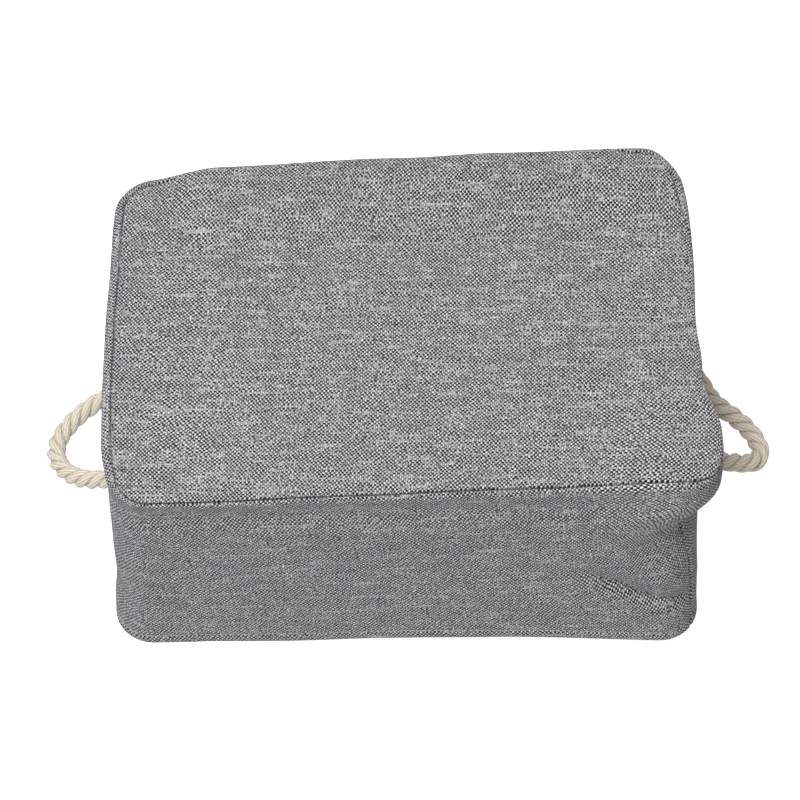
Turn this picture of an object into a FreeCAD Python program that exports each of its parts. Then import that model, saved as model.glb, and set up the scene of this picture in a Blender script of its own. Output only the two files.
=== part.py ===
import FreeCAD, Part
import math
import os

from FreeCAD import Vector

# A soft cloth storage bin with a rope handle at each end, standing upright on its base.
# Millimetres. The origin is the centre of the base's underside, +X is along the bin's
# length, +Y along its depth from front to back, and +Z is up, towards the open rim.

# The bin's outside
LENGTH = 350.0
DEPTH = 250.0
HEIGHT = 150.0
CORNER_RADIUS = 24.0
BASE_EDGE_RADIUS = 5.0

# The three layers of every wall and of the base, from outside to inside
CLOTH = 1.0
BOARD = 2.2
LINING = 0.8
BOARD_INSET = CLOTH
LINING_INSET = CLOTH + BOARD
INSIDE_INSET = CLOTH + BOARD + LINING

# Seams and hem
BASE_SEAM_INSET = 6.0
LINING_SEAM_INSET = 8.0
HEM_DEPTH = 12.0
STITCH_DROP = 9.0
THREAD = 0.4
BOARD_END_GAP = 0.4

# Rope handles, each through two level holes in an end wall
ROPE_DIAMETER = 12.0
HOLE_HEIGHT = 100.0
HOLE_OFFSET = 32.5
HANDLE_LEAN = 25.0
RUNNING_GAP = 0.3

# Eyelets, pressed through the wall
EYELET_BORE_RADIUS = 6.4
EYELET_BARREL_RADIUS = 7.2
EYELET_FLANGE_RADIUS = 12.5
EYELET_LIP_RADIUS = 9.0
EYELET_SHEET = 0.8
EYELET_LIP = 0.6
EYELET_FIT = 0.1

# Overhand knots, inside the bin
KNOT_RADIUS = 15.5
KNOT_FLAT = 14.2
KNOT_TAIL = 26.0

# An arc of the rope's route takes this share of the shorter run beside it
ARC_SHARE = 0.45

# The loops' routes, as (reach out from the hinge, place along the wall)
RIGHT_ROUTE = [
    (0, -32.5), (8, -32), (17.5, -30), (28.5, -23.5), (37.5, -13.5), (42, -1.5),
    (39, 11), (31, 19.5), (21.5, 27), (10, 31), (0, 32.5),
]
LEFT_ROUTE = [
    (0, -32.5), (8.5, -32.3), (17.5, -31.6), (27, -29.7), (36, -26.5), (40.5, -18.5),
    (38.5, -8.5), (34, 1.5), (26, 10.5), (17.5, 19), (8.5, 26.5), (0, 32.5),
]

ROPE_RADIUS = ROPE_DIAMETER / 2
END_FACE = LENGTH / 2
FLANGE_FACE = END_FACE + EYELET_SHEET
HINGE_X = FLANGE_FACE + ROPE_RADIUS + RUNNING_GAP
WASHER_FACE = END_FACE - INSIDE_INSET - EYELET_SHEET
LIP_FACE = WASHER_FACE - EYELET_LIP
KNOT_FACE = LIP_FACE - RUNNING_GAP
BEYOND = 20.0


def block(inset, low, high):
    """A prism of the bin's footprint, drawn in by inset, with rounded upright corners."""
    half_x = LENGTH / 2 - inset
    half_y = DEPTH / 2 - inset
    prism = Part.makeBox(2 * half_x, 2 * half_y, high - low, Vector(-half_x, -half_y, low))
    upright = [e for e in prism.Edges if abs(e.tangentAt(e.FirstParameter).z) > 0.9]
    return prism.makeFillet(CORNER_RADIUS - inset, upright)


def bucket(inset, top):
    """A block whose bottom face stands at inset and has a rounded edge."""
    prism = block(inset, inset, top)
    bottom = [e for e in prism.Edges if e.BoundBox.ZMax < inset + 0.01]
    return prism.makeFillet(BASE_EDGE_RADIUS - inset, bottom)


def layer(outer_inset, inner_inset, top):
    """One layer of the bin, open at the top."""
    return bucket(outer_inset, top).cut(bucket(inner_inset, top + BEYOND))


def ring(outer_inset, inner_inset, low, high):
    """An upright band that follows the bin's outline."""
    return block(outer_inset, low, high).cut(block(inner_inset, low - BEYOND, high + BEYOND))


def front_right_half():
    """The space in front of the upright plane through the two corners that have a seam."""
    far_x = LENGTH
    far_y = DEPTH
    corners = [
        Vector(-far_x, -far_y, -BEYOND), Vector(far_x, -far_y, -BEYOND),
        Vector(far_x, far_y, -BEYOND), Vector(-far_x, -far_y, -BEYOND),
    ]
    face = Part.Face(Part.makePolygon(corners))
    return face.extrude(Vector(0, 0, HEIGHT + 2 * BEYOND))


def end_cylinder(radius, start_x, end_x, y):
    """A cylinder along X at one of the right-hand wall's two holes."""
    return Part.makeCylinder(
        radius, end_x - start_x, Vector(start_x, y, HOLE_HEIGHT), Vector(1, 0, 0)
    )


def pierced(shape):
    """The shape with the four rope holes cut through the two end walls."""
    for y in (-HOLE_OFFSET, HOLE_OFFSET):
        shape = shape.cut(end_cylinder(EYELET_BARREL_RADIUS + EYELET_FIT, -LENGTH, LENGTH, y))
    return shape


def mirrored(shape):
    """The same shape for the left-hand end."""
    return shape.mirror(Vector(0, 0, 0), Vector(1, 0, 0))


def wall_strips(walls):
    """A band of wall cut in two at the seams, as front and right, then back and left."""
    half = front_right_half()
    walls = pierced(walls)
    return walls.common(half), walls.cut(half)


def outer_cloth():
    """The base panel, and two wall strips that turn under the base to its seam."""
    base = block(BASE_SEAM_INSET, 0, CLOTH)
    walls = layer(0, CLOTH, HEIGHT).cut(block(BASE_SEAM_INSET, -BEYOND, CLOTH))
    front_right, back_left = wall_strips(walls)
    return {
        "outer_base_panel": base,
        "outer_wall_front_right": front_right,
        "outer_wall_back_left": back_left,
    }


def lining():
    """The lining's base, and its two wall strips up to the fold of the hem."""
    top = HEIGHT - CLOTH
    base = block(LINING_SEAM_INSET, LINING_INSET, INSIDE_INSET)
    walls = layer(LINING_INSET, INSIDE_INSET, top)
    walls = walls.cut(block(LINING_SEAM_INSET, 0, INSIDE_INSET))
    front_right, back_left = wall_strips(walls)
    return {
        "lining_base": base,
        "lining_wall_front_right": front_right,
        "lining_wall_back_left": back_left,
    }


def stiffeners():
    """Flat boards between the cloth and the lining: one in each wall and one in the base."""
    low = BASE_EDGE_RADIUS + BOARD_END_GAP
    tall = HEIGHT - CLOTH - BOARD_END_GAP - low
    long_x = LENGTH - 2 * CORNER_RADIUS
    long_y = DEPTH - 2 * CORNER_RADIUS
    front_y = -DEPTH / 2 + BOARD_INSET
    right_x = LENGTH / 2 - BOARD_INSET - BOARD
    front = Part.makeBox(long_x, BOARD, tall, Vector(-long_x / 2, front_y, low))
    right = pierced(Part.makeBox(BOARD, long_y, tall, Vector(right_x, -long_y / 2, low)))
    return {
        "base_board": block(BASE_EDGE_RADIUS + BOARD_END_GAP, CLOTH, CLOTH + BOARD),
        "stiffener_front": front,
        "stiffener_back": front.mirror(Vector(0, 0, 0), Vector(0, 1, 0)),
        "stiffener_right": right,
        "stiffener_left": mirrored(right),
    }


def hem():
    """The outer cloth's turned top edge, over the boards and down inside the lining."""
    fold = block(CLOTH, HEIGHT - CLOTH, HEIGHT)
    leg = block(INSIDE_INSET, HEIGHT - HEM_DEPTH, HEIGHT - CLOTH)
    inside = block(INSIDE_INSET + CLOTH, HEIGHT - HEM_DEPTH - BEYOND, HEIGHT + BEYOND)
    low = HEIGHT - STITCH_DROP
    return {
        "rim_hem": fold.fuse(leg).cut(inside).removeSplitter(),
        "hem_stitch_outer": ring(-THREAD, 0, low, low + THREAD),
        "hem_stitch_inner": ring(
            INSIDE_INSET + CLOTH, INSIDE_INSET + CLOTH + THREAD, low, low + THREAD
        ),
    }


def eyelet(y):
    """A flanged barrel through the wall, with its end rolled over inside."""
    barrel = end_cylinder(EYELET_BARREL_RADIUS, LIP_FACE, FLANGE_FACE, y)
    flange = end_cylinder(EYELET_FLANGE_RADIUS, END_FACE, FLANGE_FACE, y)
    lip = end_cylinder(EYELET_LIP_RADIUS, LIP_FACE, WASHER_FACE, y)
    bore = end_cylinder(EYELET_BORE_RADIUS, LIP_FACE - 1, FLANGE_FACE + 1, y)
    return barrel.fuse([flange, lip]).cut(bore)


def eyelet_washer(y):
    """The ring between the rolled end of the barrel and the lining."""
    disc = end_cylinder(EYELET_FLANGE_RADIUS, WASHER_FACE, WASHER_FACE + EYELET_SHEET, y)
    bore = end_cylinder(
        EYELET_BARREL_RADIUS + EYELET_FIT, WASHER_FACE - 1, WASHER_FACE + EYELET_SHEET + 1, y
    )
    return disc.cut(bore)


def rope_stub(y):
    """The rope's short stretch inside the eyelet, from the knot to the outside."""
    return end_cylinder(ROPE_RADIUS, KNOT_FACE, FLANGE_FACE, y)


def rope_knot(y):
    """The outer shape of an overhand knot, flat against its stub, with its tail hanging."""
    centre = Vector(KNOT_FACE - KNOT_FLAT, y, HOLE_HEIGHT)
    ball = Part.makeSphere(KNOT_RADIUS, centre)
    beyond_face = Part.makeBox(
        BEYOND, 2 * BEYOND, 2 * BEYOND, Vector(KNOT_FACE, y - BEYOND, HOLE_HEIGHT - BEYOND)
    )
    tail = Part.makeCylinder(ROPE_RADIUS, KNOT_TAIL, centre, Vector(0, 0, -1))
    return ball.cut(beyond_face).fuse(tail)


def route_in_space(route):
    """The points of a loop's route, in its plane that leans up from the right-hand hinge."""
    lean = math.radians(HANDLE_LEAN)
    return [
        Vector(HINGE_X + reach * math.cos(lean), y, HOLE_HEIGHT + reach * math.sin(lean))
        for reach, y in route
    ]


def rounded_path(points):
    """Straight runs joined by tangent arcs, and the arcs' radii."""
    edges = []
    radii = []
    start = points[0]
    for before, corner, after in zip(points, points[1:], points[2:]):
        run_in = corner - before
        run_out = after - corner
        turn = run_in.getAngle(run_out)
        setback = ARC_SHARE * min(run_in.Length, run_out.Length)
        radius = setback / math.tan(turn / 2)
        run_in.normalize()
        run_out.normalize()
        arc_start = corner - run_in * setback
        arc_end = corner + run_out * setback
        towards_centre = (run_out - run_in).normalize()
        middle = corner + towards_centre * (radius / math.cos(turn / 2) - radius)
        edges.append(Part.LineSegment(start, arc_start).toShape())
        edges.append(Part.Arc(arc_start, middle, arc_end).toShape())
        radii.append(radius)
        start = arc_end
    edges.append(Part.LineSegment(start, points[-1]).toShape())
    return Part.Wire(edges), radii


def rope_loop(name, route):
    """The rope outside the wall: a tube along its route with a round end on the hinge line."""
    points = route_in_space(route)
    path, radii = rounded_path(points)
    section = Part.Wire([Part.makeCircle(ROPE_RADIUS, points[0], points[1] - points[0])])
    tube = path.makePipeShell([section], True, False)
    expected = math.pi * ROPE_RADIUS ** 2 * path.Length
    print(name, "length", round(path.Length, 1), "tightest arc", round(min(radii), 1))
    print(name, "arc radii", [round(radius, 1) for radius in radii])
    print(name, "volume / (section x length)", round(tube.Volume / expected, 4))
    ends = [Part.makeSphere(ROPE_RADIUS, point) for point in (points[0], points[-1])]
    return tube.fuse(ends)


def handles():
    """Both rope handles, with their eyelets, washers, stubs and knots."""
    nodes = {
        "rope_loop_right": rope_loop("rope_loop_right", RIGHT_ROUTE),
        "rope_loop_left": mirrored(rope_loop("rope_loop_left", LEFT_ROUTE)),
    }
    makers = {
        "eyelet": eyelet,
        "eyelet_washer": eyelet_washer,
        "rope_stub": rope_stub,
        "rope_knot": rope_knot,
    }
    for kind, make in makers.items():
        for place, y in (("front", -HOLE_OFFSET), ("back", HOLE_OFFSET)):
            shape = make(y)
            nodes[f"{kind}_right_{place}"] = shape
            nodes[f"{kind}_left_{place}"] = mirrored(shape)
    return nodes


os.makedirs("parts", exist_ok=True)
for group in (outer_cloth(), stiffeners(), lining(), hem(), handles()):
    for node, shape in group.items():
        solids = shape.Solids
        print(f"{node}: solids {len(solids)}, valid {shape.isValid()}, {shape.Volume:.0f} mm3")
        whole = solids[0] if len(solids) == 1 else shape
        whole.exportStep(f"parts/{node}.step")
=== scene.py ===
import math

import bpy
from mathutils import Matrix, Vector, noise


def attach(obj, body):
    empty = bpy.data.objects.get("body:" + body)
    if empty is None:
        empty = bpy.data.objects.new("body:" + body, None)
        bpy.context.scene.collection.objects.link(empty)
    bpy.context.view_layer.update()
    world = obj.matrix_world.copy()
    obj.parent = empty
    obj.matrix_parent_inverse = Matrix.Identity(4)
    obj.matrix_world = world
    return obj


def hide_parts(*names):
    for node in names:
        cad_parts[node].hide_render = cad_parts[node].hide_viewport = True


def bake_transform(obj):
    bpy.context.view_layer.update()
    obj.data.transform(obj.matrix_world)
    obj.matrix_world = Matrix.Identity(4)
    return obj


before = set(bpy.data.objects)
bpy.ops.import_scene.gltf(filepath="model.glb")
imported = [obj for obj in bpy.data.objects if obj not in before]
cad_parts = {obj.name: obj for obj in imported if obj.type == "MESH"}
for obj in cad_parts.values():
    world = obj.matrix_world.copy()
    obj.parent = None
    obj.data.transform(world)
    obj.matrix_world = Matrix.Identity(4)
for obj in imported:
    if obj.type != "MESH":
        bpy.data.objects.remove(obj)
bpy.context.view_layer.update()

# ---------------------------------------------------------------- outer wall strips
# Two lengths of grey linen-look polyester, woven plain from slubbed heather yarn. They are
# sewn to each other at the front left and back right corners and to the base panel below,
# and their top edges are turned over the rim and down inside as a hem.
MM = 0.001
HALF_X, HALF_Y, HEIGHT = 175.0, 125.0, 150.0
CORNER, EDGE, ROLL = 24.0, 5.0, 2.5    # radii: upright corner, base edge, fold of the rim
FOOT_X, FOOT_Y = HALF_X - CORNER, HALF_Y - CORNER
ARC = math.pi / 2 * CORNER
GIRTH = 4 * (FOOT_X + FOOT_Y) + 4 * ARC
# Distances from the foot, a corner radius inside the outline, along the flat cloth
BASE_SEAM = CORNER - 6.0
WALL_FOOT = CORNER - EDGE + EDGE * math.pi / 2
ROLL_FOOT = WALL_FOOT + HEIGHT - EDGE - ROLL
ROLL_END = ROLL_FOOT + math.pi * ROLL
STITCH_HEIGHT, HEM_END = 141.0, 138.4
HEM_REACH = ROLL_END + HEIGHT - ROLL - HEM_END
STITCH_OUT = WALL_FOOT + STITCH_HEIGHT - EDGE
STITCH_IN = ROLL_END + HEIGHT - ROLL - STITCH_HEIGHT
CLOTH = 1.0
SIDE_SEAM = -5.0
HOLE_Y, HOLE_Z, HOLE_RADIUS = 32.5, 100.0, 7.3
RIM_DROP = 6.1
# Where a corner's slump is strongest: near the middle of its arc
SOFT_X, SOFT_Y = 168, 118


def ramp(value, low, high):
    """0 up to low, 1 from high, and smooth between them."""
    share = min(max((value - low) / (high - low), 0.0), 1.0)
    return share * share * (3 - 2 * share)


def bump(value, centre, half_width):
    """1 at the centre, falling away smoothly to both sides."""
    return math.exp(-(((value - centre) / half_width) ** 2))


def spaced(low, high, step):
    """Even places from low to high, about one step apart."""
    count = max(1, round((high - low) / step))
    return [low + (high - low) * i / count for i in range(count + 1)]


def outline(s):
    """The foot, a corner radius inside the outline, and the way out from it, at s mm
    round the bin from the middle of the front left corner."""
    s = (s + ARC / 2) % GIRTH
    corners = (
        (-FOOT_X, -FOOT_Y, 180, 2 * FOOT_X), (FOOT_X, -FOOT_Y, 270, 2 * FOOT_Y),
        (FOOT_X, FOOT_Y, 0, 2 * FOOT_X), (-FOOT_X, FOOT_Y, 90, 2 * FOOT_Y),
    )
    for foot_x, foot_y, start, run in corners:
        turn = math.radians(start + 90 * min(s / ARC, 1))
        out = Vector((math.cos(turn), math.sin(turn)))
        along = min(max(s - ARC, 0), run)
        if s <= ARC + run:
            break
        s -= ARC + run
    return Vector((foot_x, foot_y)) + along * Vector((-out.y, out.x)), out


def wrap(flat, depth):
    """Cloth laid out flat from the middle of the base, folded up round the base edge, up the
    wall, over the rim and down inside, at depth mm in from its face."""
    foot = Vector((
        min(max(flat.x, -FOOT_X), FOOT_X), min(max(flat.y, -FOOT_Y), FOOT_Y)
    ))
    reach = (flat - foot).length
    out = (flat - foot) / reach if reach else Vector((0, 0))
    if reach < CORNER - EDGE:
        away, height = reach, depth
    elif reach < WALL_FOOT:
        turn = (reach - CORNER + EDGE) / EDGE
        away = CORNER - EDGE + (EDGE - depth) * math.sin(turn)
        height = EDGE - (EDGE - depth) * math.cos(turn)
    elif reach < ROLL_FOOT:
        away, height = CORNER - depth, EDGE + reach - WALL_FOOT
    elif reach < ROLL_END:
        turn = (reach - ROLL_FOOT) / ROLL
        away = CORNER - ROLL + (ROLL - depth) * math.cos(turn)
        height = HEIGHT - ROLL + (ROLL - depth) * math.sin(turn)
    else:
        away, height = CORNER - 2 * ROLL + depth, HEIGHT - ROLL - (reach - ROLL_END)
    spot = foot + out * away
    return spot.x, spot.y, height


# How far the front left corner is pushed in, as (height, mm)
TUCK = (
    (0, -0.5), (14, -0.5), (23, 1), (33, 4.5), (43, 9.5), (54, 11.5), (64, 9), (80, 5),
    (111, 2.4), (130, 1.8), (160, 0.5),
)
CREASE_START, CREASE_CLIMB, CREASE_DEPTH = 82, 34, 6.0


def tuck(z):
    """The push on the front left corner at this height."""
    z = min(max(z, 0), TUCK[-1][0] - 0.1)
    low, high = next(pair for pair in zip(TUCK, TUCK[1:]) if pair[1][0] > z)
    return low[1] + (high[1] - low[1]) * (z - low[0]) / (high[0] - low[0])


def crease(x, z):
    """The long fold that climbs towards the rim at the front wall's left end: a sharp valley
    between two slopes."""
    over = z - CREASE_START - CREASE_CLIMB * ramp(-x, 92, 165)
    valley = max(0, 1 + over / 21 if over < 0 else 1 - over / 11) ** 1.5
    strength = ramp(-x, 80, 125) * (1 - 0.6 * ramp(-x, 160, 173))
    return strength * CREASE_DEPTH * valley


def slump(x, y, z):
    """Where the soft bin stands: twisted a little, wider and lower to one side at the rim,
    pushed in at one corner and bulging along its base edges, but flat at the eyelets."""
    up = z / HEIGHT
    left, right = ramp(-x, 105, 160), ramp(x, 105, 160)
    front, back = ramp(-y, 60, 112), ramp(y, 60, 112)
    twist, flare = math.radians(1.24) * up, 1 + 0.011 * up
    push_x = (math.cos(twist) * x - math.sin(twist) * y) * flare - x
    push_y = (math.sin(twist) * x + math.cos(twist) * y) * flare - y
    # The left end: an ear low down at the front, a long soft bulge behind it, and a dent at
    # the rim
    beyond = max((y + 80) / 24, (-112 - y - 0.55 * z) / 28, 0)
    ear = 9.2 - 2 * ramp(-y, 92, 108) * (1 - ramp(z, 5, 25))
    push_x -= left * ear * bump(beyond, 0, 1) * (1 - ramp(z, 20, 54))
    push_x -= left * 2.2 * ramp(y, -30, 40) * (1 - ramp(y, 85, 120)) * (1 - ramp(z, 20, 60))
    push_x += left * 0.6 * bump(y, 0, 28) * bump(z, 0, 25)
    push_x -= left * 1.8 * bump(y, -26, 16) * (1 - ramp(z, 14, 46))
    push_x += left * 2.4 * bump(y, -44, 17) * ramp(z, 105, 150)
    # The right end, the back and the front: bulges along the base edge, a dent at the front
    # right end of the rim, and the crease
    push_x += right * 5 * ramp(y, -118, -75) * (1 - 0.6 * ramp(y, -40, 80)) * bump(z, 0, 24)
    push_x += right * 2.5 * ramp(-y, 60, 110) * ramp(z, 90, 140)
    behind = (9 + 3.5 * ramp(-x, 0, 60) + 2.5 * bump(x, 15, 38)) * (1 - ramp(x, 110, 155))
    push_y += behind * (1 - 0.4 * ramp(-x, 158, 175)) * back * bump(z, 0, 35)
    push_y += front * (2.6 + 0.006 * x) * bump(z, 17, 10) + front * crease(x, z)
    # The four corners
    near_left = bump(x, -SOFT_X, 32) * bump(y, -SOFT_Y, 44)
    near_right = bump(x, SOFT_X, 28) * bump(y, -SOFT_Y, 28)
    far_left = bump(x, -SOFT_X, 30) * bump(y, SOFT_Y, 30) * (1 - ramp(z, 10, 60))
    far_right = bump(x, SOFT_X, 26) * bump(y, SOFT_Y, 26) * (1 - ramp(z, 10, 60))
    push_x += near_left * tuck(z) + near_right * 0.6 * bump(z, 40, 22)
    push_x += 1.6 * far_left - 2.8 * far_right
    push_y += near_left * 0.45 * tuck(z) - 1.0 * far_left - 1.0 * far_right
    # Faint waves in all four walls
    push_x += (left + right) * 0.9 * noise.noise(Vector((y / 52, z / 43, 3.1)))
    push_y += (front + back) * 1.1 * noise.noise(Vector((x / 58, z / 41, 7.7)))
    # The end walls are held in place round the eyelets
    held = ramp(abs(x), 140, 165) * (1 - ramp(abs(y), 50, 85))
    held *= 1 - ramp(abs(z - HOLE_Z), 16, 45)
    # Up and down: the tilted and wavy rim, and the base, which bows a little off the floor
    wave = 3 * ramp(x, 10, 110) - 5 * bump(x, -55, 75)
    lift = -RIM_DROP * x / HALF_X * up + wave * front * up ** 3
    inner = (1 - ramp(abs(x), 130, 165)) * (1 - ramp(abs(y), 80, 115))
    lift += inner * (1 - up) ** 8 * (0.7 + 0.7 * noise.noise(Vector((x / 70, y / 62, 1.9))))
    return Vector((x + push_x * (1 - held), y + push_y, z + lift))


def seam_drift(spot):
    """How far the cloth has slid outwards over the base edge, so that the base seam lies
    nearer to the edge at the front, and over it at the left and the back."""
    left = 8 * ramp(-spot.y, -95, -50) * ramp(-spot.x, 90, 150)
    back = 9 * (1 - ramp(abs(spot.x), 105, 150)) * ramp(spot.y, 40, 100)
    front = (3.5 + 0.012 * spot.x) * ramp(-spot.y, 40, 100)
    return Vector((-left, back - front))


# A cloth's edge at a seam, as (distance from the seam, depth): it turns inwards until it
# meets the edge of the cloth beside it, and a little past it, so that no light shows through
SEAM_EDGE = ((1.7, 0), (1.2, 0.12), (0.85, 0.5), (0.55, 1.2), (0.35, 2.2), (-0.15, 3.4))


def lay_out(name, columns, rows, place):
    """A flat piece of cloth, drawn as a grid, with each crossing of a column and a row put
    where place says and its cloth coordinates kept as the UV map, in metres."""
    bpy.ops.object.select_all(action="DESELECT")
    bpy.ops.mesh.primitive_grid_add(
        x_subdivisions=len(columns) - 1, y_subdivisions=len(rows) - 1, size=2
    )
    piece = bpy.context.active_object
    piece.name = piece.data.name = name
    spots = [
        place(
            columns[round((vertex.co.x + 1) / 2 * (len(columns) - 1))],
            rows[round((vertex.co.y + 1) / 2 * (len(rows) - 1))],
        )
        for vertex in piece.data.vertices
    ]
    for vertex, (spot, cloth) in zip(piece.data.vertices, spots):
        vertex.co = spot * MM
    uv_map = piece.data.uv_layers[0]
    for loop in piece.data.loops:
        uv_map.data[loop.index].uv = spots[loop.vertex_index][1] * MM
    return piece


def pick(piece):
    """Selects this piece alone."""
    bpy.ops.object.select_all(action="DESELECT")
    piece.select_set(True)
    bpy.context.view_layer.objects.active = piece


def apply_modifiers(piece):
    """Makes the piece's modifiers part of its mesh."""
    pick(piece)
    for modifier in list(piece.modifiers):
        bpy.ops.object.modifier_apply(modifier=modifier.name)


def thicken(piece, thickness):
    """Gives laid-out cloth its thickness, on the side away from its face."""
    solid = piece.modifiers.new("thickness", "SOLIDIFY")
    solid.thickness = thickness * MM
    solid.offset = -1
    apply_modifiers(piece)


def pierce(piece, side):
    """Punches the two rope holes through the end wall on this side, 1 right or -1 left. The
    punch leaves an empty material slot behind, which is cleared."""
    for y in (-HOLE_Y, HOLE_Y):
        bpy.ops.object.select_all(action="DESELECT")
        bpy.ops.mesh.primitive_cylinder_add(
            vertices=40, radius=HOLE_RADIUS * MM, depth=24 * MM,
            location=(side * (HALF_X - 2) * MM, y * MM, HOLE_Z * MM),
            rotation=(0, math.pi / 2, 0),
        )
        punch = bpy.context.active_object
        cut = piece.modifiers.new("hole", "BOOLEAN")
        cut.operation, cut.solver, cut.object = "DIFFERENCE", "MANIFOLD", punch
        apply_modifiers(piece)
        bpy.data.objects.remove(punch)
    piece.data.materials.clear()


def smooth(piece, angle=50):
    """Smooth shading, apart from edges sharper than the angle."""
    pick(piece)
    bpy.ops.object.shade_smooth_by_angle(angle=math.radians(angle))


def wall_cloth(name, columns, rows, depth):
    """One layer of wall. Columns are (place round the bin, sink), and rows are (reach from
    the foot, sink), where sink is how far the cloth turns in at a seam. It is drawn in
    along both rows of stitches, and swells above the outside row."""
    def place(column, row):
        s, sink = column
        reach, turned = row
        foot, out = outline(s)
        drift = seam_drift(foot + out * BASE_SEAM) * (1 - ramp(reach, 23, 75))
        flat = foot + out * reach + drift
        stitched = 0.5 * bump(reach, STITCH_OUT, 1.1) - 0.35 * bump(reach, STITCH_OUT + 4.5, 2.5)
        stitched += 0.4 * bump(reach, STITCH_IN, 1.1)
        spot = wrap(flat, depth + max(sink, turned, key=abs) + stitched)
        return slump(*spot), Vector((s, reach + drift.dot(out)))
    return lay_out(name, columns, rows, place)


def strip_columns(start, length, step, face=1):
    """Columns of a wall strip that has a seam at both ends, with its edges turned away from
    its face."""
    edge = [(along, face * sink) for along, sink in SEAM_EDGE]
    columns = [(start + along, sink) for along, sink in reversed(edge)]
    columns += [(s, 0) for s in spaced(start + 3, start + length - 3, step)]
    return columns + [(start + length - along, sink) for along, sink in edge]


def to_linear(colour):
    """An sRGB hex colour as the linear values that a shader works in."""
    parts = [int(colour[i:i + 2], 16) / 255 for i in (1, 3, 5)]
    return [
        part / 12.92 if part <= 0.04045 else ((part + 0.055) / 1.055) ** 2.4 for part in parts
    ] + [1]


def add(tree, kind, links=None, **settings):
    """A node with its settings, its socket values and its links."""
    node = tree.nodes.new(kind)
    for name, value in settings.items():
        setattr(node, name, value)
    for socket, value in (links or {}).items():
        if isinstance(value, bpy.types.NodeSocket):
            tree.links.new(value, node.inputs[socket])
        else:
            node.inputs[socket].default_value = value
    return node


def start_material(name):
    """An empty material with its shader and output."""
    material = bpy.data.materials.new(name)
    material.use_nodes = True
    tree = material.node_tree
    tree.nodes.clear()
    shader = add(tree, "ShaderNodeBsdfPrincipled")
    add(tree, "ShaderNodeOutputMaterial", {"Surface": shader.outputs[0]})
    return material, tree, shader


def plain_weave(tree, pitch, slubs, skew):
    """Warp over weft, weft over warp, in threads of this pitch in mm, on a grain that the
    sewing has pulled off square. Gives how high the upper thread stands, a tone from 0 to 1
    that changes along it over this many threads, 1 where the warp is on top, and how much the
    two differ from place to place."""
    uv = add(tree, "ShaderNodeUVMap", uv_map="UVMap")
    wander = uv
    for detail, reach in ((30.0, 4 * MM), (330.0, 1.5 * MM)):
        bend = add(
            tree, "ShaderNodeTexNoise", {"Vector": uv.outputs[0], "Scale": detail, "Detail": 1.0}
        )
        wander = add(
            tree, "ShaderNodeVectorMath",
            {0: bend.outputs["Color"], 1: (reach, reach, 0), 2: wander.outputs[0]},
            operation="MULTIPLY_ADD",
        )
    square = add(tree, "ShaderNodeSeparateXYZ", {0: wander.outputs[0]})
    leaning, rising = [
        add(
            tree, "ShaderNodeMath",
            {0: square.outputs[1 - own], 1: skew[own], 2: square.outputs[own]},
            operation="MULTIPLY_ADD",
        ).outputs[0] for own in (0, 1)
    ]
    grain = add(tree, "ShaderNodeCombineXYZ", {0: leaning, 1: rising})
    threads = add(
        tree, "ShaderNodeVectorMath",
        {0: grain.outputs[0], 1: (1 / (pitch[0] * MM), 1 / (pitch[1] * MM), 1)},
        operation="MULTIPLY",
    )
    cell = add(tree, "ShaderNodeVectorMath", {0: threads.outputs[0]}, operation="FLOOR")
    part = add(tree, "ShaderNodeVectorMath", {0: threads.outputs[0]}, operation="FRACTION")
    thread = add(tree, "ShaderNodeSeparateXYZ", {0: threads.outputs[0]})
    number = add(tree, "ShaderNodeSeparateXYZ", {0: cell.outputs[0]})
    within = add(tree, "ShaderNodeSeparateXYZ", {0: part.outputs[0]})
    both = add(
        tree, "ShaderNodeMath", {0: number.outputs[0], 1: number.outputs[1]}, operation="ADD"
    )
    warp_up = add(
        tree, "ShaderNodeMath", {0: both.outputs[0], 1: 2.0}, operation="FLOORED_MODULO"
    ).outputs[0]
    across = add(
        tree, "ShaderNodeMix", {0: warp_up, 2: within.outputs[1], 3: within.outputs[0]}
    )
    along = add(
        tree, "ShaderNodeMix", {0: warp_up, 2: within.outputs[0], 3: within.outputs[1]}
    )
    waves = []
    for turned in (across, along):
        angle = add(
            tree, "ShaderNodeMath", {0: turned.outputs[0], 1: math.pi}, operation="MULTIPLY"
        )
        waves.append(add(tree, "ShaderNodeMath", {0: angle.outputs[0]}, operation="SINE"))
    arch = add(
        tree, "ShaderNodeMath", {0: waves[1].outputs[0], 1: 0.45, 2: 0.55},
        operation="MULTIPLY_ADD",
    )
    crown = add(
        tree, "ShaderNodeMath", {0: waves[0].outputs[0], 1: arch.outputs[0]},
        operation="MULTIPLY",
    )
    # Each thread has a line of the noise to itself, 7.31 from the next one's
    tones = []
    for own, run, length, kind in ((1, 0, slubs[0], 0.0), (0, 1, slubs[1], 37.7)):
        apart = add(
            tree, "ShaderNodeMath", {0: number.outputs[own], 1: 7.31}, operation="MULTIPLY"
        )
        drawn = add(
            tree, "ShaderNodeMath", {0: thread.outputs[run], 1: 1 / length},
            operation="MULTIPLY",
        )
        yarn = add(
            tree, "ShaderNodeCombineXYZ", {0: apart.outputs[0], 1: drawn.outputs[0], 2: kind}
        )
        tones.append(add(
            tree, "ShaderNodeTexNoise",
            {"Vector": yarn.outputs[0], "Scale": 1.0, "Detail": 1.5},
        ))
    tone = add(
        tree, "ShaderNodeMix", {0: warp_up, 2: tones[0].outputs[0], 3: tones[1].outputs[0]}
    )
    even = add(
        tree, "ShaderNodeTexNoise", {"Vector": threads.outputs[0], "Scale": 0.22, "Detail": 1.0}
    )
    return crown.outputs[0], tone.outputs[0], warp_up, even.outputs[0]


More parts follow.
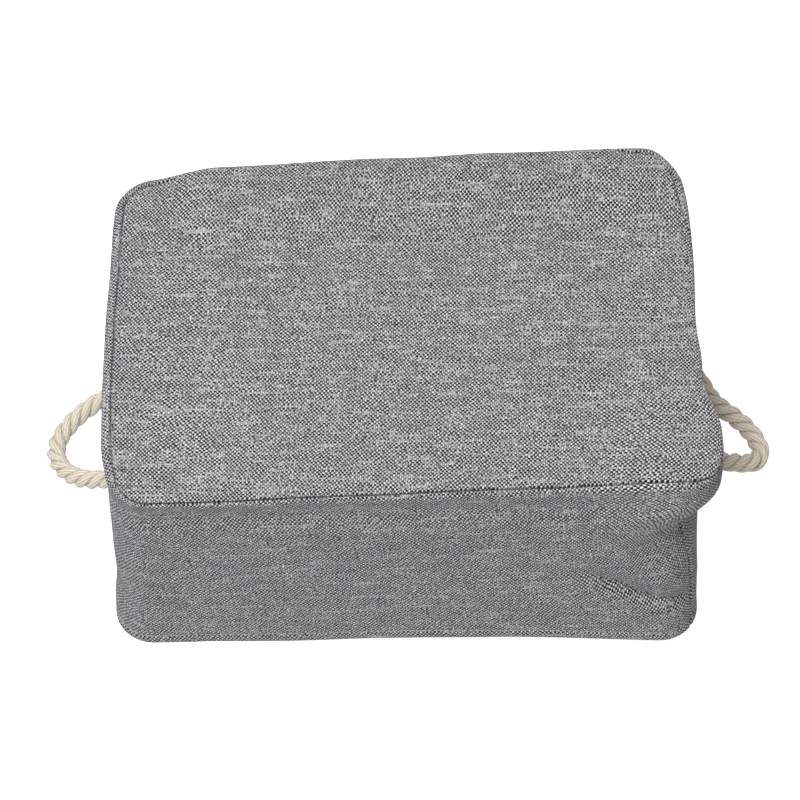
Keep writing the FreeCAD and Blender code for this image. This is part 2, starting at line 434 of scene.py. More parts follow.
def linen_look_polyester():
    """Heather grey upholstery cloth: a pale warp and a near-black weft, both of mixed fibres,
    so that crossings alternate light and dark and single yarns stand out as fine streaks.
    Matt and dry, with a pale bloom at a grazing angle. The warp's threads are 1.25 mm apart
    and the weft's 1.4 mm."""
    material, tree, shader = start_material("linen_look_polyester_plain_woven")
    crown, tone, warp_up, uneven = plain_weave(
        tree, pitch=(1.25, 1.4), slubs=(20.0, 6.0), skew=(0.12, -0.05)
    )
    spun = add(
        tree, "ShaderNodeMath", {0: tone, 1: 1.4, 2: -0.2}, operation="MULTIPLY_ADD"
    )
    sign = add(
        tree, "ShaderNodeMath", {0: warp_up, 1: 2.0, 2: -1.0}, operation="MULTIPLY_ADD"
    )
    contrast = add(
        tree, "ShaderNodeMath", {0: uneven, 1: 0.87, 2: -0.09}, operation="MULTIPLY_ADD"
    )
    cloth = add(tree, "ShaderNodeUVMap", uv_map="UVMap")
    fibre = add(
        tree, "ShaderNodeTexNoise", {"Vector": cloth.outputs[0], "Scale": 600.0, "Detail": 1.0}
    )
    fuzzy = add(
        tree, "ShaderNodeMath", {0: fibre.outputs[0], 1: 1.3, 2: -0.65},
        operation="MULTIPLY_ADD",
    )
    mottled = add(
        tree, "ShaderNodeMath", {0: spun.outputs[0], 1: fuzzy.outputs[0]}, operation="ADD"
    )
    blended = add(
        tree, "ShaderNodeMath",
        {0: sign.outputs[0], 1: contrast.outputs[0], 2: mottled.outputs[0]},
        operation="MULTIPLY_ADD",
    )
    heather = add(tree, "ShaderNodeValToRGB", {0: blended.outputs[0]})
    stops = heather.color_ramp.elements
    stops[0].position, stops[0].color = 0.2, to_linear("#100e0f")
    stops[1].position, stops[1].color = 0.84, to_linear("#ebe8e9")
    # Painted shade: the colour is darkened where the crown is low, in the gaps between threads
    thread_gap_shade = add(
        tree, "ShaderNodeMapRange", {0: crown, 1: 0.0, 2: 0.6, 3: 0.55, 4: 1.0}
    )
    shaded = add(
        tree, "ShaderNodeMix", {0: 1.0, 6: heather.outputs[0], 7: thread_gap_shade.outputs[0]},
        data_type="RGBA", blend_type="MULTIPLY",
    )
    place = add(tree, "ShaderNodeTexCoord")
    worn = add(
        tree, "ShaderNodeTexNoise",
        {"Vector": place.outputs["Object"], "Scale": 14.0, "Detail": 2.0},
    )
    patch = add(tree, "ShaderNodeMapRange", {0: worn.outputs[0], 3: 0.94, 4: 1.06})
    colour = add(
        tree, "ShaderNodeMix", {0: 1.0, 6: shaded.outputs[2], 7: patch.outputs[0]},
        data_type="RGBA", blend_type="MULTIPLY",
    )
    thick = add(
        tree, "ShaderNodeMath", {0: crown, 1: blended.outputs[0]}, operation="MULTIPLY"
    )
    relief = add(
        tree, "ShaderNodeBump",
        {"Height": thick.outputs[0], "Strength": 1.0, "Distance": 1.2 * MM},
    )
    tree.links.new(colour.outputs[2], shader.inputs["Base Color"])
    tree.links.new(relief.outputs[0], shader.inputs["Normal"])
    shader.inputs["Roughness"].default_value = 0.9
    shader.inputs["IOR"].default_value = 1.5
    shader.inputs["Specular IOR Level"].default_value = 0.3
    shader.inputs["Sheen Weight"].default_value = 0.3
    shader.inputs["Sheen Roughness"].default_value = 0.5
    shader.inputs["Sheen Tint"].default_value = to_linear("#c3c8d6")
    return material


outer_cloth = linen_look_polyester()
# Rows lie closer together at the base edge, the crease, the stitches and the fold
outer_rows = [(BASE_SEAM + along, sink) for along, sink in reversed(SEAM_EDGE)]
outer_rows += [
    (reach, 0) for reach in (
        *spaced(BASE_SEAM + 2.2, WALL_FOOT + 4, 1.2),
        *spaced(WALL_FOOT + 6.5, WALL_FOOT + 80, 3)[:-1],
        *spaced(WALL_FOOT + 80, WALL_FOOT + 126, 1.8),
        *spaced(STITCH_OUT - 4, STITCH_OUT + 3, 0.7),
        *spaced(STITCH_OUT + 4, ROLL_FOOT, 1.3)[:-1],
        *spaced(ROLL_FOOT, ROLL_END, 0.9),
        *spaced(ROLL_END + 1.5, STITCH_IN - 2, 1.5),
        *spaced(STITCH_IN - 1.4, STITCH_IN + 1.4, 0.7),
    )
]
outer_rows += [(HEM_REACH - 0.6, 0), (HEM_REACH, 0.3), (HEM_REACH + 0.4, 0.9)]
outer_strips = {}
for name, start in (
    ("outer_wall_front_right", SIDE_SEAM), ("outer_wall_back_left", SIDE_SEAM + GIRTH / 2)
):
    strip = wall_cloth(f"{name}_cloth", strip_columns(start, GIRTH / 2, 3), outer_rows, 0)
    thicken(strip, CLOTH)
    pierce(strip, 1 if name.endswith("right") else -1)
    smooth(strip)
    strip.data.materials.append(outer_cloth)
    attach(strip, "root")
    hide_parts(name, "rim_hem")
    outer_strips[name] = strip

# ---------------------------------------------------------------- outer base panel
# One piece of the same grey cloth, sewn to the lower edges of the wall strips a little in
# from the base edge. Its edge turns in at the seam, which shows as a thin dark groove.


def base_columns(foot, rings, step):
    """Places across the base: rings at both ends, and even spaces between the two feet."""
    ends = range(1, len(rings))
    return (
        [(-foot, -k) for k in reversed(ends)]
        + [(place, 0) for place in spaced(-foot, foot, step)]
        + [(foot, k) for k in ends]
    )


def base_cloth(name, rings, depth, faces_down):
    """One layer of the base. Rings are (reach from the foot, sink) from the foot outwards."""
    def place(column, row):
        (foot_x, ring_x), (foot_y, ring_y) = column, row
        inner, outer = sorted((abs(ring_x), abs(ring_y)))
        turn = math.pi / 4 * inner / outer if outer else 0
        long_way, short_way = (math.cos(turn), math.sin(turn)) if outer else (0, 0)
        if abs(ring_x) < abs(ring_y):
            long_way, short_way = short_way, long_way
        reach, sink = rings[outer]
        out = Vector((
            math.copysign(long_way, ring_x), math.copysign(short_way, ring_y)
        ))
        flat = Vector((foot_x, foot_y)) + out * reach
        flat += seam_drift(flat)
        return slump(*wrap(flat, depth + sink)), flat
    columns = base_columns(FOOT_X, rings, 4)
    if faces_down:
        columns.reverse()
    return lay_out(name, columns, base_columns(FOOT_Y, rings, 4), place)


base_rings = [(reach, 0) for reach in (0, 4, 8, 11.5, 14, 15.6)]
base_rings += [(BASE_SEAM - along, sink) for along, sink in SEAM_EDGE]
base_panel = base_cloth("outer_base_cloth", base_rings, 0, True)
thicken(base_panel, CLOTH)
smooth(base_panel)
base_panel.data.materials.append(outer_cloth)
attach(base_panel, "root")
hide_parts("outer_base_panel")

# ---------------------------------------------------------------- boards
# Sheets of grey board, 2.2 mm thick, that keep the walls and the base stiff: one in each
# wall, one in the base. They are cut square and slid between the cloth and the lining. They
# are drawn 2 mm thick, clear of both.
BOARD_DEPTH, BOARD = 1.15, 2.0


def grey_board():
    """Recycled paper board, pressed and dried: flat grey-brown with darker flecks of fibre,
    and quite matt."""
    material, tree, shader = start_material("recycled_grey_board_pressed")
    place = add(tree, "ShaderNodeTexCoord")
    fibre = add(
        tree, "ShaderNodeTexNoise",
        {"Vector": place.outputs["Object"], "Scale": 900.0, "Detail": 4.0, "Roughness": 0.7},
    )
    fleck = add(tree, "ShaderNodeValToRGB", {0: fibre.outputs[0]})
    fleck.color_ramp.elements[0].position = 0.35
    fleck.color_ramp.elements[0].color = to_linear("#6f6a63")
    fleck.color_ramp.elements[1].position = 0.6
    fleck.color_ramp.elements[1].color = to_linear("#a39c92")
    relief = add(
        tree, "ShaderNodeBump",
        {"Height": fibre.outputs[0], "Strength": 0.3, "Distance": 0.1 * MM},
    )
    tree.links.new(fleck.outputs[0], shader.inputs["Base Color"])
    tree.links.new(relief.outputs[0], shader.inputs["Normal"])
    shader.inputs["Roughness"].default_value = 0.95
    return material


board_card = grey_board()
board_rows = [(reach, 0) for reach in spaced(WALL_FOOT + 1, WALL_FOOT + 139, 1.9)]
wall_boards = {
    "stiffener_front": (ARC / 2, 2 * FOOT_X, 0),
    "stiffener_right": (ARC / 2 + 2 * FOOT_X + ARC, 2 * FOOT_Y, 1),
    "stiffener_back": (ARC / 2 + GIRTH / 2, 2 * FOOT_X, 0),
    "stiffener_left": (ARC / 2 + GIRTH / 2 + 2 * FOOT_X + ARC, 2 * FOOT_Y, -1),
}
boards = []
for name, (start, length, side) in wall_boards.items():
    columns = [(s, 0) for s in spaced(start + 0.5, start + length - 0.5, 4)]
    board = wall_cloth(f"{name}_board", columns, board_rows, BOARD_DEPTH)
    boards.append((board, name))
    thicken(board, BOARD)
    if side:
        pierce(board, side)
board_rings = [(reach, 0) for reach in (0, 4, 8, 11.5, 14)]
board = base_cloth("base_board_sheet", board_rings, BOARD_DEPTH, True)
thicken(board, BOARD)
boards.append((board, "base_board"))
for board, name in boards:
    smooth(board, 30)
    board.data.materials.append(board_card)
    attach(board, "root")
    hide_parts(name)

# ---------------------------------------------------------------- lining
# Off-white cotton and polyester cloth, thinner and finer than the outside: a base and two
# wall strips, sewn like the outer cloth but with the seams turned away from the inside, and
# held under the hem at the rim.
LINING_FACE, LINING = 4.0, 0.7
LINING_SEAM = CORNER - 8.0
LINING_TOP = WALL_FOOT + 142.0 - EDGE
LINING_SINK = -0.4    # its seams turn outwards, by this share of the outer cloth's


def unbleached_lining():
    """Plain-woven cotton and polyester lining, left unbleached: a warm off-white with fine
    even threads, matt, and soft in its folds. Its threads are 0.6 mm apart and are drawn at
    0.9 mm, so that they show."""
    material, tree, shader = start_material("unbleached_cotton_lining_plain_woven")
    crown, tone, _, _ = plain_weave(
        tree, pitch=(0.9, 0.9), slubs=(9.0, 9.0), skew=(0.0, 0.0)
    )
    thread = add(tree, "ShaderNodeValToRGB", {0: tone})
    stops = thread.color_ramp.elements
    stops[0].position, stops[0].color = 0.3, to_linear("#cfc8ba")
    stops[1].position, stops[1].color = 0.7, to_linear("#ece7dc")
    # Painted shade: the colour is darkened where the crown is low, in the gaps between threads
    thread_gap_shade = add(tree, "ShaderNodeMapRange", {0: crown, 1: 0.0, 2: 0.7, 3: 0.72, 4: 1.0})
    colour = add(
        tree, "ShaderNodeMix", {0: 1.0, 6: thread.outputs[0], 7: thread_gap_shade.outputs[0]},
        data_type="RGBA", blend_type="MULTIPLY",
    )
    relief = add(
        tree, "ShaderNodeBump", {"Height": crown, "Strength": 0.5, "Distance": 0.2 * MM}
    )
    tree.links.new(colour.outputs[2], shader.inputs["Base Color"])
    tree.links.new(relief.outputs[0], shader.inputs["Normal"])
    shader.inputs["Roughness"].default_value = 0.9
    shader.inputs["Sheen Weight"].default_value = 0.15
    return material


lining_cloth = unbleached_lining()
lining_rows = [(LINING_SEAM + along, sink * LINING_SINK) for along, sink in reversed(SEAM_EDGE)]
lining_rows += [
    (reach, 0) for reach in (
        *spaced(LINING_SEAM + 2.2, WALL_FOOT + 4, 1.4),
        *spaced(WALL_FOOT + 7, LINING_TOP - 1, 3.2), LINING_TOP,
    )
]
lining_pieces = []
for name, start in (
    ("lining_wall_front_right", SIDE_SEAM), ("lining_wall_back_left", SIDE_SEAM + GIRTH / 2)
):
    columns = strip_columns(start, GIRTH / 2, 3.2, face=LINING_SINK)
    columns.reverse()
    strip = wall_cloth(f"{name}_cloth", columns, lining_rows, LINING_FACE)
    thicken(strip, LINING)
    pierce(strip, 1 if name.endswith("right") else -1)
    lining_pieces.append((strip, name))
lining_rings = [(reach, 0) for reach in (0, 4, 8, 11, 13.4)]
lining_rings += [(LINING_SEAM - along, sink * LINING_SINK) for along, sink in SEAM_EDGE]
lining_base = base_cloth("lining_base_cloth", lining_rings, LINING_FACE, False)
thicken(lining_base, LINING)
lining_pieces.append((lining_base, "lining_base"))
for strip, name in lining_pieces:
    smooth(strip)
    strip.data.materials.append(lining_cloth)
    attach(strip, "root")
    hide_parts(name)

# ---------------------------------------------------------------- hem stitching
# One row of lockstitch in grey polyester thread holds the turned hem down, and shows as
# single stitches 3.5 mm long on both sides of the wall, drawn a little into the cloth.
STITCH_PITCH = 3.5
STITCH_LONG, STITCH_WIDE, STITCH_DEEP, STITCH_SINK = 1.45, 0.36, 0.3, 0.3    # half sizes


def polyester_thread():
    """Spun polyester sewing thread, twisted and dyed a light warm grey: a soft sheen with
    fine diagonal lines of ply."""
    material, tree, shader = start_material("spun_polyester_thread_dyed")
    place = add(tree, "ShaderNodeTexCoord")
    ply = add(
        tree, "ShaderNodeTexNoise",
        {"Vector": place.outputs["Object"], "Scale": 2200.0, "Detail": 1.0},
    )
    colour = add(tree, "ShaderNodeValToRGB", {0: ply.outputs[0]})
    colour.color_ramp.elements[0].position = 0.35
    colour.color_ramp.elements[0].color = to_linear("#8d8985")
    colour.color_ramp.elements[1].position = 0.65
    colour.color_ramp.elements[1].color = to_linear("#cbc7c1")
    tree.links.new(colour.outputs[0], shader.inputs["Base Color"])
    shader.inputs["Roughness"].default_value = 0.6
    shader.inputs["Sheen Weight"].default_value = 0.2
    return material


sewing_thread = polyester_thread()
bpy.ops.object.select_all(action="DESELECT")
bpy.ops.mesh.primitive_uv_sphere_add(segments=6, ring_count=5, radius=1)
one_stitch = bpy.context.active_object
stitch_points = [Vector(vertex.co) for vertex in one_stitch.data.vertices]
stitch_faces = [tuple(face.vertices) for face in one_stitch.data.polygons]
bpy.data.objects.remove(one_stitch)


def on_wall(s, reach, depth):
    """A point of the slumped wall, in mm."""
    foot, out = outline(s)
    return slump(*wrap(foot + out * reach, depth))


for name, reach in (("hem_stitch_outer", STITCH_OUT), ("hem_stitch_inner", STITCH_IN)):
    points, faces = [], []
    count = round(GIRTH / STITCH_PITCH)
    for number in range(count):
        s = GIRTH * number / count
        centre = on_wall(s, reach, STITCH_SINK)
        behind, ahead = (on_wall(s + step, reach, STITCH_SINK) for step in (-1, 1))
        along = (ahead - behind).normalized()
        face_out = (on_wall(s, reach, 0) - on_wall(s, reach, 1)).normalized()
        up = along.cross(face_out)
        first = len(points)
        points += [
            (
                centre + along * p.z * STITCH_LONG + face_out * p.x * STITCH_DEEP
                + up * p.y * STITCH_WIDE
            ) * MM
            for p in stitch_points
        ]
        faces += [tuple(first + corner for corner in face) for face in stitch_faces]
    mesh = bpy.data.meshes.new(name)
    mesh.from_pydata(points, [], faces)
    row = bpy.data.objects.new(f"{name}_row", mesh)
    bpy.context.scene.collection.objects.link(row)
    pick(row)
    bpy.ops.object.mode_set(mode="EDIT")
    bpy.ops.mesh.select_all(action="SELECT")
    bpy.ops.mesh.normals_make_consistent(inside=False)
    bpy.ops.object.mode_set(mode="OBJECT")
    smooth(row, 80)
    row.data.materials.append(sewing_thread)
    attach(row, "root")
    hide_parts(name)

# ---------------------------------------------------------------- eyelets and washers
# Pressed brass, nickel plated. The barrel goes through all three layers of an end wall, its
# flange lies on the outer cloth, and its end is rolled over a washer on the lining.
EYELET_SECTION = (
    (169.9, 6.4), (175.0, 6.4), (175.6, 6.7), (176.0, 7.5), (176.1, 8.8), (175.95, 10.8),
    (175.6, 12.1), (175.25, 12.5), (174.95, 12.2), (175.0, 10.8), (175.0, 7.2), (170.4, 7.2),
    (170.3, 8.4), (170.1, 9.0), (169.8, 9.1), (169.5, 8.7), (169.35, 7.8), (169.45, 6.9),
)
WASHER_SECTION = (
    (170.4, 7.3), (170.2, 8.2), (170.1, 9.6), (170.15, 11.2), (170.4, 12.2), (170.7, 12.5),
    (171.0, 12.2), (171.0, 7.3),
)


def nickel_plated_brass():
    """Brass sheet, drawn and nickel plated: bright warm grey metal with a soft polish and
    fine scuffs."""
    material, tree, shader = start_material("brass_drawn_nickel_plated")
    place = add(tree, "ShaderNodeTexCoord")
    scuff = add(
        tree, "ShaderNodeTexNoise",
        {"Vector": place.outputs["Object"], "Scale": 1400.0, "Detail": 3.0},
    )
    rough = add(tree, "ShaderNodeMapRange", {0: scuff.outputs[0], 3: 0.2, 4: 0.42})
    colour = add(tree, "ShaderNodeValToRGB", {0: scuff.outputs[0]})
    colour.color_ramp.elements[0].color = to_linear("#b9b4aa")
    colour.color_ramp.elements[1].color = to_linear("#d8d3c9")
    tree.links.new(colour.outputs[0], shader.inputs["Base Color"])
    tree.links.new(rough.outputs[0], shader.inputs["Roughness"])
    shader.inputs["Metallic"].default_value = 1.0
    return material


def turned_ring(name, section, y):
    """A ring spun from a closed section of (x, radius) round a rope hole's axis."""
    bpy.ops.object.select_all(action="DESELECT")
    bpy.ops.mesh.primitive_circle_add(vertices=len(section), radius=1)
    ring = bpy.context.active_object
    ring.name = ring.data.name = name
    for vertex, (x, radius) in zip(ring.data.vertices, section):
        vertex.co = Vector((x, y, HOLE_Z + radius)) * MM
    bpy.ops.object.mode_set(mode="EDIT")
    bpy.ops.mesh.select_all(action="SELECT")
    bpy.ops.mesh.spin(
        steps=48, angle=2 * math.pi, center=(0, y * MM, HOLE_Z * MM), axis=(1, 0, 0)
    )
    bpy.ops.mesh.select_all(action="SELECT")
    bpy.ops.mesh.remove_doubles(threshold=0.01 * MM)
    bpy.ops.mesh.normals_make_consistent(inside=False)
    bpy.ops.object.mode_set(mode="OBJECT")
    return ring


plated_brass = nickel_plated_brass()
HALF_TURN = Matrix.Rotation(math.pi, 4, "Z")
for kind, section in (("eyelet", EYELET_SECTION), ("eyelet_washer", WASHER_SECTION)):
    for place, y in (("front", -HOLE_Y), ("back", HOLE_Y)):
        for side in ("right", "left"):
            ring = turned_ring(
                f"{kind}_{side}_{place}_metal", section, y if side == "right" else -y
            )
            if side == "left":
                ring.data.transform(HALF_TURN)
            smooth(ring, 40)
            ring.data.materials.append(plated_brass)
            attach(ring, "root")
            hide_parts(f"{kind}_{side}_{place}")

# ---------------------------------------------------------------- rope handles
# Natural cotton rope, 12 mm, three soft strands laid left-handed, each of nine twisted yarns.
# Both ends of a handle go in through the eyelets; the handle could swing up and down in them,
# but it is drawn fixed, leaning up. A route is (reach out from the hinge line, y), on a plane
# that leans up from the hinge.
LEAN, HINGE_X = math.radians(25), 182.1
ROPE, LAY = 12.0, 27.0
STRAND, STRAND_OUT, YARNS, YARN_LAY = 2.95, 3.05, 9, 24.0
RIGHT_ROUTE = (
    (0, -32.5), (8, -30), (16.5, -27.5), (26.5, -22), (35.5, -13.5), (41.5, -2),
    (40.5, 10.5), (33, 20), (22.5, 27), (11, 31.5), (0, 32.5),
)
LEFT_ROUTE = (
    (0, -32.5), (8.5, -31.5), (17.5, -30.6), (27, -28.7), (36, -26), (40.5, -18.5),
    (39.5, -10.8), (34.3, -1.8), (25.3, 5.4), (15.3, 10.5), (6.5, 17), (0, 32.5),
)


def spline(points):
    """Points along the smooth line that has these as its control points, in metres."""
    curve = bpy.data.curves.new("route", "CURVE")
    curve.dimensions = "3D"
    curve.resolution_u = 24
    run = curve.splines.new("NURBS")
    run.points.add(len(points) - 1)
    for point, spot in zip(run.points, points):
        point.co = (*(Vector(spot) * MM), 1)
    run.order_u = 3
    run.use_endpoint_u = True
    line = bpy.data.objects.new("route", curve)
    mesh = bpy.data.meshes.new_from_object(line)
    found = [vertex.co.copy() for vertex in mesh.vertices]
    bpy.data.objects.remove(line)
    return found


def even(points, step):
    """The same line as points an even step apart."""
    lengths = [0.0]
    for here, there in zip(points, points[1:]):
        lengths.append(lengths[-1] + (there - here).length)
    found, at = [], 0
    for target in spaced(0, lengths[-1], step):
        while at < len(points) - 2 and lengths[at + 1] < target:
            at += 1
        share = (target - lengths[at]) / max(lengths[at + 1] - lengths[at], 1e-9)
        found.append(points[at].lerp(points[at + 1], min(share, 1)))
    return found


def laid_rope(name, line, step, around, size=1.0, cut_end=False):
    """Three strands laid round the line, each with yarns twisted the other way. The strands
    close at both ends, with a rounded tip at a cut end. The reach attribute is how far out
    from the rope's middle a point lies, and furrow how far it lies down between two yarns."""
    path = even(line, step * MM)
    across = path[1] - path[0]
    side = across.orthogonal().normalized()
    frames = []
    for i, spot in enumerate(path):
        ahead = (path[min(i + 1, len(path) - 1)] - path[max(i - 1, 0)]).normalized()
        side = (side - ahead * side.dot(ahead)).normalized()
        frames.append((spot, side, ahead.cross(side)))
    points, faces, uvs, grooves = [], [], [], []
    for strand in range(3):
        centres = []
        for i, (spot, right, up) in enumerate(frames):
            turn = 2 * math.pi * (strand / 3 - i * step / (LAY * size))
            radial = right * math.cos(turn) + up * math.sin(turn)
            centres.append((spot + radial * STRAND_OUT * size * MM, radial))
        first = len(points)
        for i, (centre, radial) in enumerate(centres):
            ahead = centres[min(i + 1, len(path) - 1)][0] - centres[max(i - 1, 0)][0]
            ahead.normalize()
            outward = (radial - ahead * radial.dot(ahead)).normalized()
            flank = ahead.cross(outward)
            along = i * step
            soft = 1 + 0.05 * noise.noise(Vector((along / 9, strand * 5.3, 2.2)))
            if cut_end:
                left = (len(path) - 1 - i) * step
                soft *= math.sqrt(max(0.02, 1 - max(0, 1 - left / 2.4) ** 2))
            for j in range(around):
                angle = 2 * math.pi * j / around - math.pi
                yarn = YARNS * (angle - 2 * math.pi * along / YARN_LAY)
                flute = 1 - 0.085 * (1 - abs(math.cos(yarn / 2))) ** 0.8
                fuzz = 1 + 0.012 * noise.noise(Vector((along * 1.3, j * 0.9, strand * 3.7)))
                radius = STRAND * size * soft * flute * fuzz
                spot = centre + (
                    outward * math.cos(angle) + flank * math.sin(angle)
                ) * radius * MM
                points.append(spot)
                uvs.append((along * MM, angle * STRAND * MM))
                grooves.append(1 - abs(math.cos(yarn / 2)))
        for i in range(len(path) - 1):
            for j in range(around):
                k = (j + 1) % around
                faces.append((
                    first + i * around + j, first + i * around + k,
                    first + (i + 1) * around + k, first + (i + 1) * around + j,
                ))
        last = first + (len(path) - 1) * around
        faces.append(tuple(first + j for j in reversed(range(around))))
        faces.append(tuple(last + j for j in range(around)))
    mesh = bpy.data.meshes.new(name)
    mesh.from_pydata(points, [], faces)
    uv_map = mesh.uv_layers.new(name="UVMap")
    for loop in mesh.loops:
        uv_map.data[loop.index].uv = uvs[loop.vertex_index]
    # Reach and furrow carry the painted shade that the rope's material puts between the strands
    # and between the yarns
    reach = mesh.attributes.new("reach", "FLOAT", "POINT")
    for vertex in mesh.vertices:
        from_middle = (vertex.co - path[(vertex.index // around) % len(path)]).length
        reach.data[vertex.index].value = from_middle / (ROPE / 2 * size * MM)
    furrow = mesh.attributes.new("furrow", "FLOAT", "POINT")
    furrow.data.foreach_set("value", grooves)
    piece = bpy.data.objects.new(name, mesh)
    bpy.context.scene.collection.objects.link(piece)
    smooth(piece, 60)
    return piece, path


def cotton_rope():
    """Natural cotton, carded, spun and laid: warm cream with fine fibre lines along each
    yarn, and quite matt. Painted shade: browner deeper in, between the strands, and darker
    in the furrows between yarns."""
    material, tree, shader = start_material("natural_cotton_rope_three_strand_laid")
    uv = add(tree, "ShaderNodeUVMap", uv_map="UVMap")
    drawn = add(
        tree, "ShaderNodeMapping", {"Vector": uv.outputs[0], "Scale": (450.0, 2600.0, 1.0)}
    )
    fibre = add(
        tree, "ShaderNodeTexNoise", {"Vector": drawn.outputs[0], "Scale": 1.0, "Detail": 3.0}
    )
    # Painted shade: the colour runs from brown deep in the rope, between the strands, to cream
    # on the strands' crowns
    reach = add(tree, "ShaderNodeAttribute", attribute_name="reach")
    furrow = add(tree, "ShaderNodeAttribute", attribute_name="furrow")
    depth = add(
        tree, "ShaderNodeMapRange", {0: reach.outputs["Fac"], 1: 0.55, 2: 0.86, 3: 0.0, 4: 1.0}
    )
    shade = add(tree, "ShaderNodeValToRGB", {0: depth.outputs[0]})
    stops = shade.color_ramp.elements
    stops[0].position, stops[0].color = 0.0, to_linear("#553f28")
    stops[1].position, stops[1].color = 1.0, to_linear("#e3d8c7")
    middle = stops.new(0.45)
    middle.color = to_linear("#c0af97")
    # Painted shade: darker down in the furrows between yarns
    line = add(
        tree, "ShaderNodeMapRange", {0: furrow.outputs["Fac"], 1: 0.4, 2: 1.0, 3: 1.0, 4: 0.42}
    )
    furrow_shaded = add(
        tree, "ShaderNodeMix", {0: 1.0, 6: shade.outputs[0], 7: line.outputs[0]},
        data_type="RGBA", blend_type="MULTIPLY",
    )
    tuft = add(
        tree, "ShaderNodeMapRange", {0: fibre.outputs[0], 1: 0.3, 2: 0.7, 3: 0.72, 4: 1.15}
    )
    colour = add(
        tree, "ShaderNodeMix", {0: 1.0, 6: furrow_shaded.outputs[2], 7: tuft.outputs[0]},
        data_type="RGBA", blend_type="MULTIPLY",
    )
    relief = add(
        tree, "ShaderNodeBump",
        {"Height": fibre.outputs[0], "Strength": 0.6, "Distance": 0.25 * MM},
    )
    tree.links.new(colour.outputs[2], shader.inputs["Base Color"])
    tree.links.new(relief.outputs[0], shader.inputs["Normal"])
    shader.inputs["Roughness"].default_value = 0.92
    shader.inputs["Specular IOR Level"].default_value = 0.25
    shader.inputs["Sheen Weight"].default_value = 0.3
    return material


rope_cotton = cotton_rope()
INSIDE = ((160.0, -HOLE_Y, HOLE_Z), (174.5, -HOLE_Y, HOLE_Z))
for side, sign, route in (("right", 1, RIGHT_ROUTE), ("left", -1, LEFT_ROUTE)):
    control = list(INSIDE)
    control += [
        (HINGE_X + reach * math.cos(LEAN), y, HOLE_Z + reach * math.sin(LEAN))
        for reach, y in route
    ]
    control += [(x, -y, z) for x, y, z in reversed(INSIDE)]
    line = spline([(sign * x, y, z) for x, y, z in control])
    rope, path = laid_rope(f"rope_handle_{side}", line, 0.7, 45)
    rope.data.materials.append(rope_cotton)
    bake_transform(rope)
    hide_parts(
        f"rope_loop_{side}", f"rope_stub_{side}_front", f"rope_stub_{side}_back"
    )

# ---------------------------------------------------------------- rope knots
# Each end of a handle's rope is tied in an overhand knot inside the bin, drawn tight against
# the eyelet, with its cut end left hanging 27 mm below the middle of the knot.
KNOT_SIZE, KNOT_RING, KNOT_SWELL = 0.86, 3.9, 5.2
KNOT_MIDDLE = 157.5


def overhand(y):
    """Control points of a knot: in from the eyelet, three times round, and out downwards."""
    points = [(172.0, y, HOLE_Z), (167.0, y + 0.5, HOLE_Z - 1), (164.5, y + 1.5, HOLE_Z - 6)]
    for number in range(17):
        turn = 2 * math.pi / 3 + math.radians(22) + math.radians(316) * number / 16
        ring = (2 + math.cos(3 * turn)) * KNOT_RING
        angle = 2 * turn + math.radians(30)
        points.append((
            KNOT_MIDDLE + math.sin(3 * turn) * KNOT_SWELL,
            y + ring * math.cos(angle), HOLE_Z + ring * math.sin(angle),
        ))
    end = points[-1]
    points += [(end[0] - 2.5, end[1] + (y - end[1]) * 0.5, HOLE_Z - 15.5)]
    points += [(end[0] - 3.5, y + 0.5, HOLE_Z - 21), (end[0] - 3.0, y, HOLE_Z - 27)]
    return points


knots = {"right": [], "left": []}
for place, y in (("front", -HOLE_Y), ("back", HOLE_Y)):
    for side in ("right", "left"):
        line = spline(overhand(y if side == "right" else -y))
        knot, _ = laid_rope(
            f"rope_knot_{side}_{place}_tied", line, 0.9, 36, size=KNOT_SIZE, cut_end=True
        )
        if side == "left":
            knot.data.transform(HALF_TURN)
        knot.data.materials.append(rope_cotton)
        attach(knot, "root")
        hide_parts(f"rope_knot_{side}_{place}")
        knots[side].append(knot)

# ---------------------------------------------------------------- boards behind the outer strips
# Picks the name of the board behind each outer wall strip; nothing is done with it.
for name, strip in outer_strips.items():
    board = "stiffener_front_board" if name.endswith("right") else "stiffener_back_board"

# ---------------------------------------------------------------- floor and light
# A plain pale floor under the bin, and another at its rim for the view from below. Each
# shows only its own side, and neither takes part in the light. Soft white studio light.


def pale_floor(name, glow):
    """White card: matt, and evenly lit from within, so that only a faint shadow shows."""
    material, tree, shader = start_material(name)
    output = next(node for node in tree.nodes if node.type == "OUTPUT_MATERIAL")
    shader.inputs["Base Color"].default_value = to_linear("#f2f2f2")
    shader.inputs["Roughness"].default_value = 1.0
    shader.inputs["Specular IOR Level"].default_value = 0.0
    shader.inputs["Emission Color"].default_value = to_linear("#ffffff")
    shader.inputs["Emission Strength"].default_value = glow
    clear = add(tree, "ShaderNodeBsdfTransparent")
    face = add(tree, "ShaderNodeNewGeometry")
    one_sided = add(
        tree, "ShaderNodeMixShader",
        {0: face.outputs["Backfacing"], 1: shader.outputs[0], 2: clear.outputs[0]},
    )
    tree.links.new(one_sided.outputs[0], output.inputs["Surface"])
    return material


for name, height, tilt, glow in (
    ("floor_under_base", -0.5, 0, 0.45), ("floor_at_rim", 151.2, math.pi, 0.75)
):
    bpy.ops.object.select_all(action="DESELECT")
    bpy.ops.mesh.primitive_plane_add(size=9, location=(0, 0, height * MM), rotation=(tilt, 0, 0))
    floor = bpy.context.active_object
    floor.name = name
    if tilt:
        floor.rotation_euler.y = math.atan(RIM_DROP / HALF_X)
    floor.data.materials.append(pale_floor(f"{name}_card", glow))
    for kind in ("diffuse", "glossy", "transmission", "volume_scatter", "shadow"):
        setattr(floor, f"visible_{kind}", False)

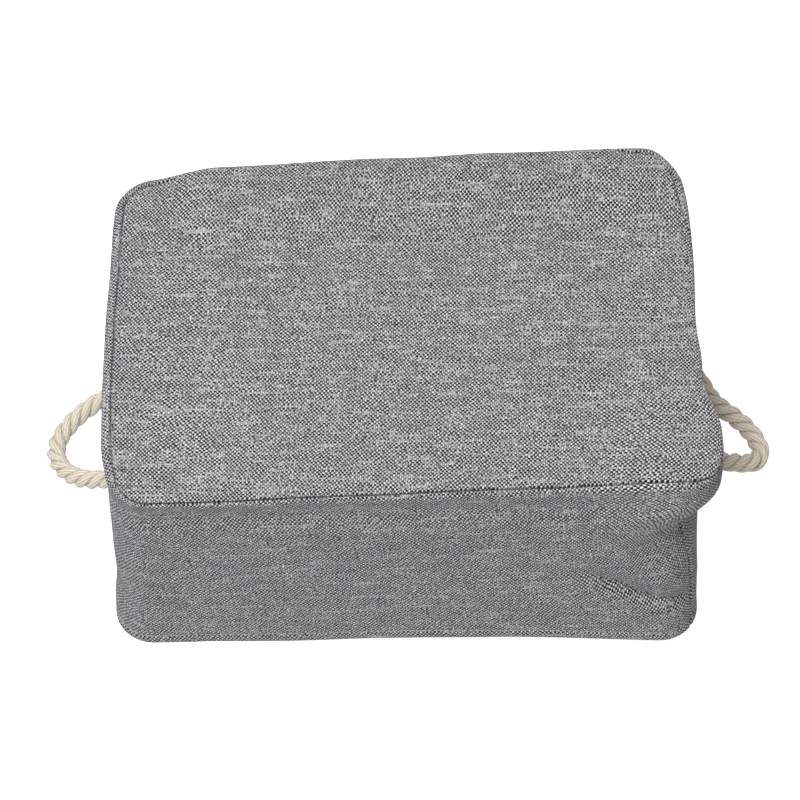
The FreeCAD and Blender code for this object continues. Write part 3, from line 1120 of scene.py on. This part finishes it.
world = bpy.data.worlds.new("studio")
bpy.context.scene.world = world
world.use_nodes = True
world.node_tree.nodes.clear()
ambient = add(world.node_tree, "ShaderNodeBackground", {"Color": (1, 1, 1, 1), "Strength": 0.46})
white = add(world.node_tree, "ShaderNodeBackground", {"Color": (1, 1, 1, 1), "Strength": 1.0})
ray = add(world.node_tree, "ShaderNodeLightPath")
seen = add(
    world.node_tree, "ShaderNodeMixShader",
    {0: ray.outputs["Is Camera Ray"], 1: ambient.outputs[0], 2: white.outputs[0]},
)
add(world.node_tree, "ShaderNodeOutputWorld", {"Surface": seen.outputs[0]})
bpy.context.scene.view_settings.view_transform = "Standard"

for name, place, size, power in (
    ("light_below_front", (0.4, -0.6, -1.9), 0.8, 42),
    ("light_above_front", (0.6, -1.2, 1.9), 1.4, 22),
):
    light = bpy.data.lights.new(name, "AREA")
    light.size, light.energy = size, power
    lamp = bpy.data.objects.new(name, light)
    bpy.context.scene.collection.objects.link(lamp)
    lamp.location = place
    aim = Vector((0, 0, 0.07)) - Vector(place)
    lamp.rotation_euler = aim.to_track_quat("-Z", "Y").to_euler()

# ---------------------------------------------------------------- camera
# A long lens on a stand in front of the bin, looking up at its base from below. It is held
# upside down, so that the base shows above the front wall.
AIM = Vector((0.0037, 0.0018, 0.075))
CLIMB, HEADING, ROLL_ANGLE = math.radians(52.94), math.radians(0.42), math.radians(-2.31)
AWAY = 2.276
ahead = Vector((
    math.sin(HEADING) * math.cos(CLIMB), math.cos(HEADING) * math.cos(CLIMB), math.sin(CLIMB)
))
above = (Vector((0, 0, -1)) + ahead * ahead.z).normalized()
beside = ahead.cross(above)
turned = Matrix.Rotation(-ROLL_ANGLE, 3, ahead)
across, upward = turned @ beside, turned @ above
lens = bpy.data.cameras.new("camera")
lens.lens, lens.sensor_width = 166.7, 36.0
lens.clip_start, lens.clip_end = 0.1, 50
camera = bpy.data.objects.new("camera", lens)
bpy.context.scene.collection.objects.link(camera)
camera.matrix_world = Matrix((
    (across.x, upward.x, -ahead.x, AIM.x - AWAY * ahead.x),
    (across.y, upward.y, -ahead.y, AIM.y - AWAY * ahead.y),
    (across.z, upward.z, -ahead.z, AIM.z - AWAY * ahead.z),
    (0, 0, 0, 1),
))
bpy.context.scene.camera = camera
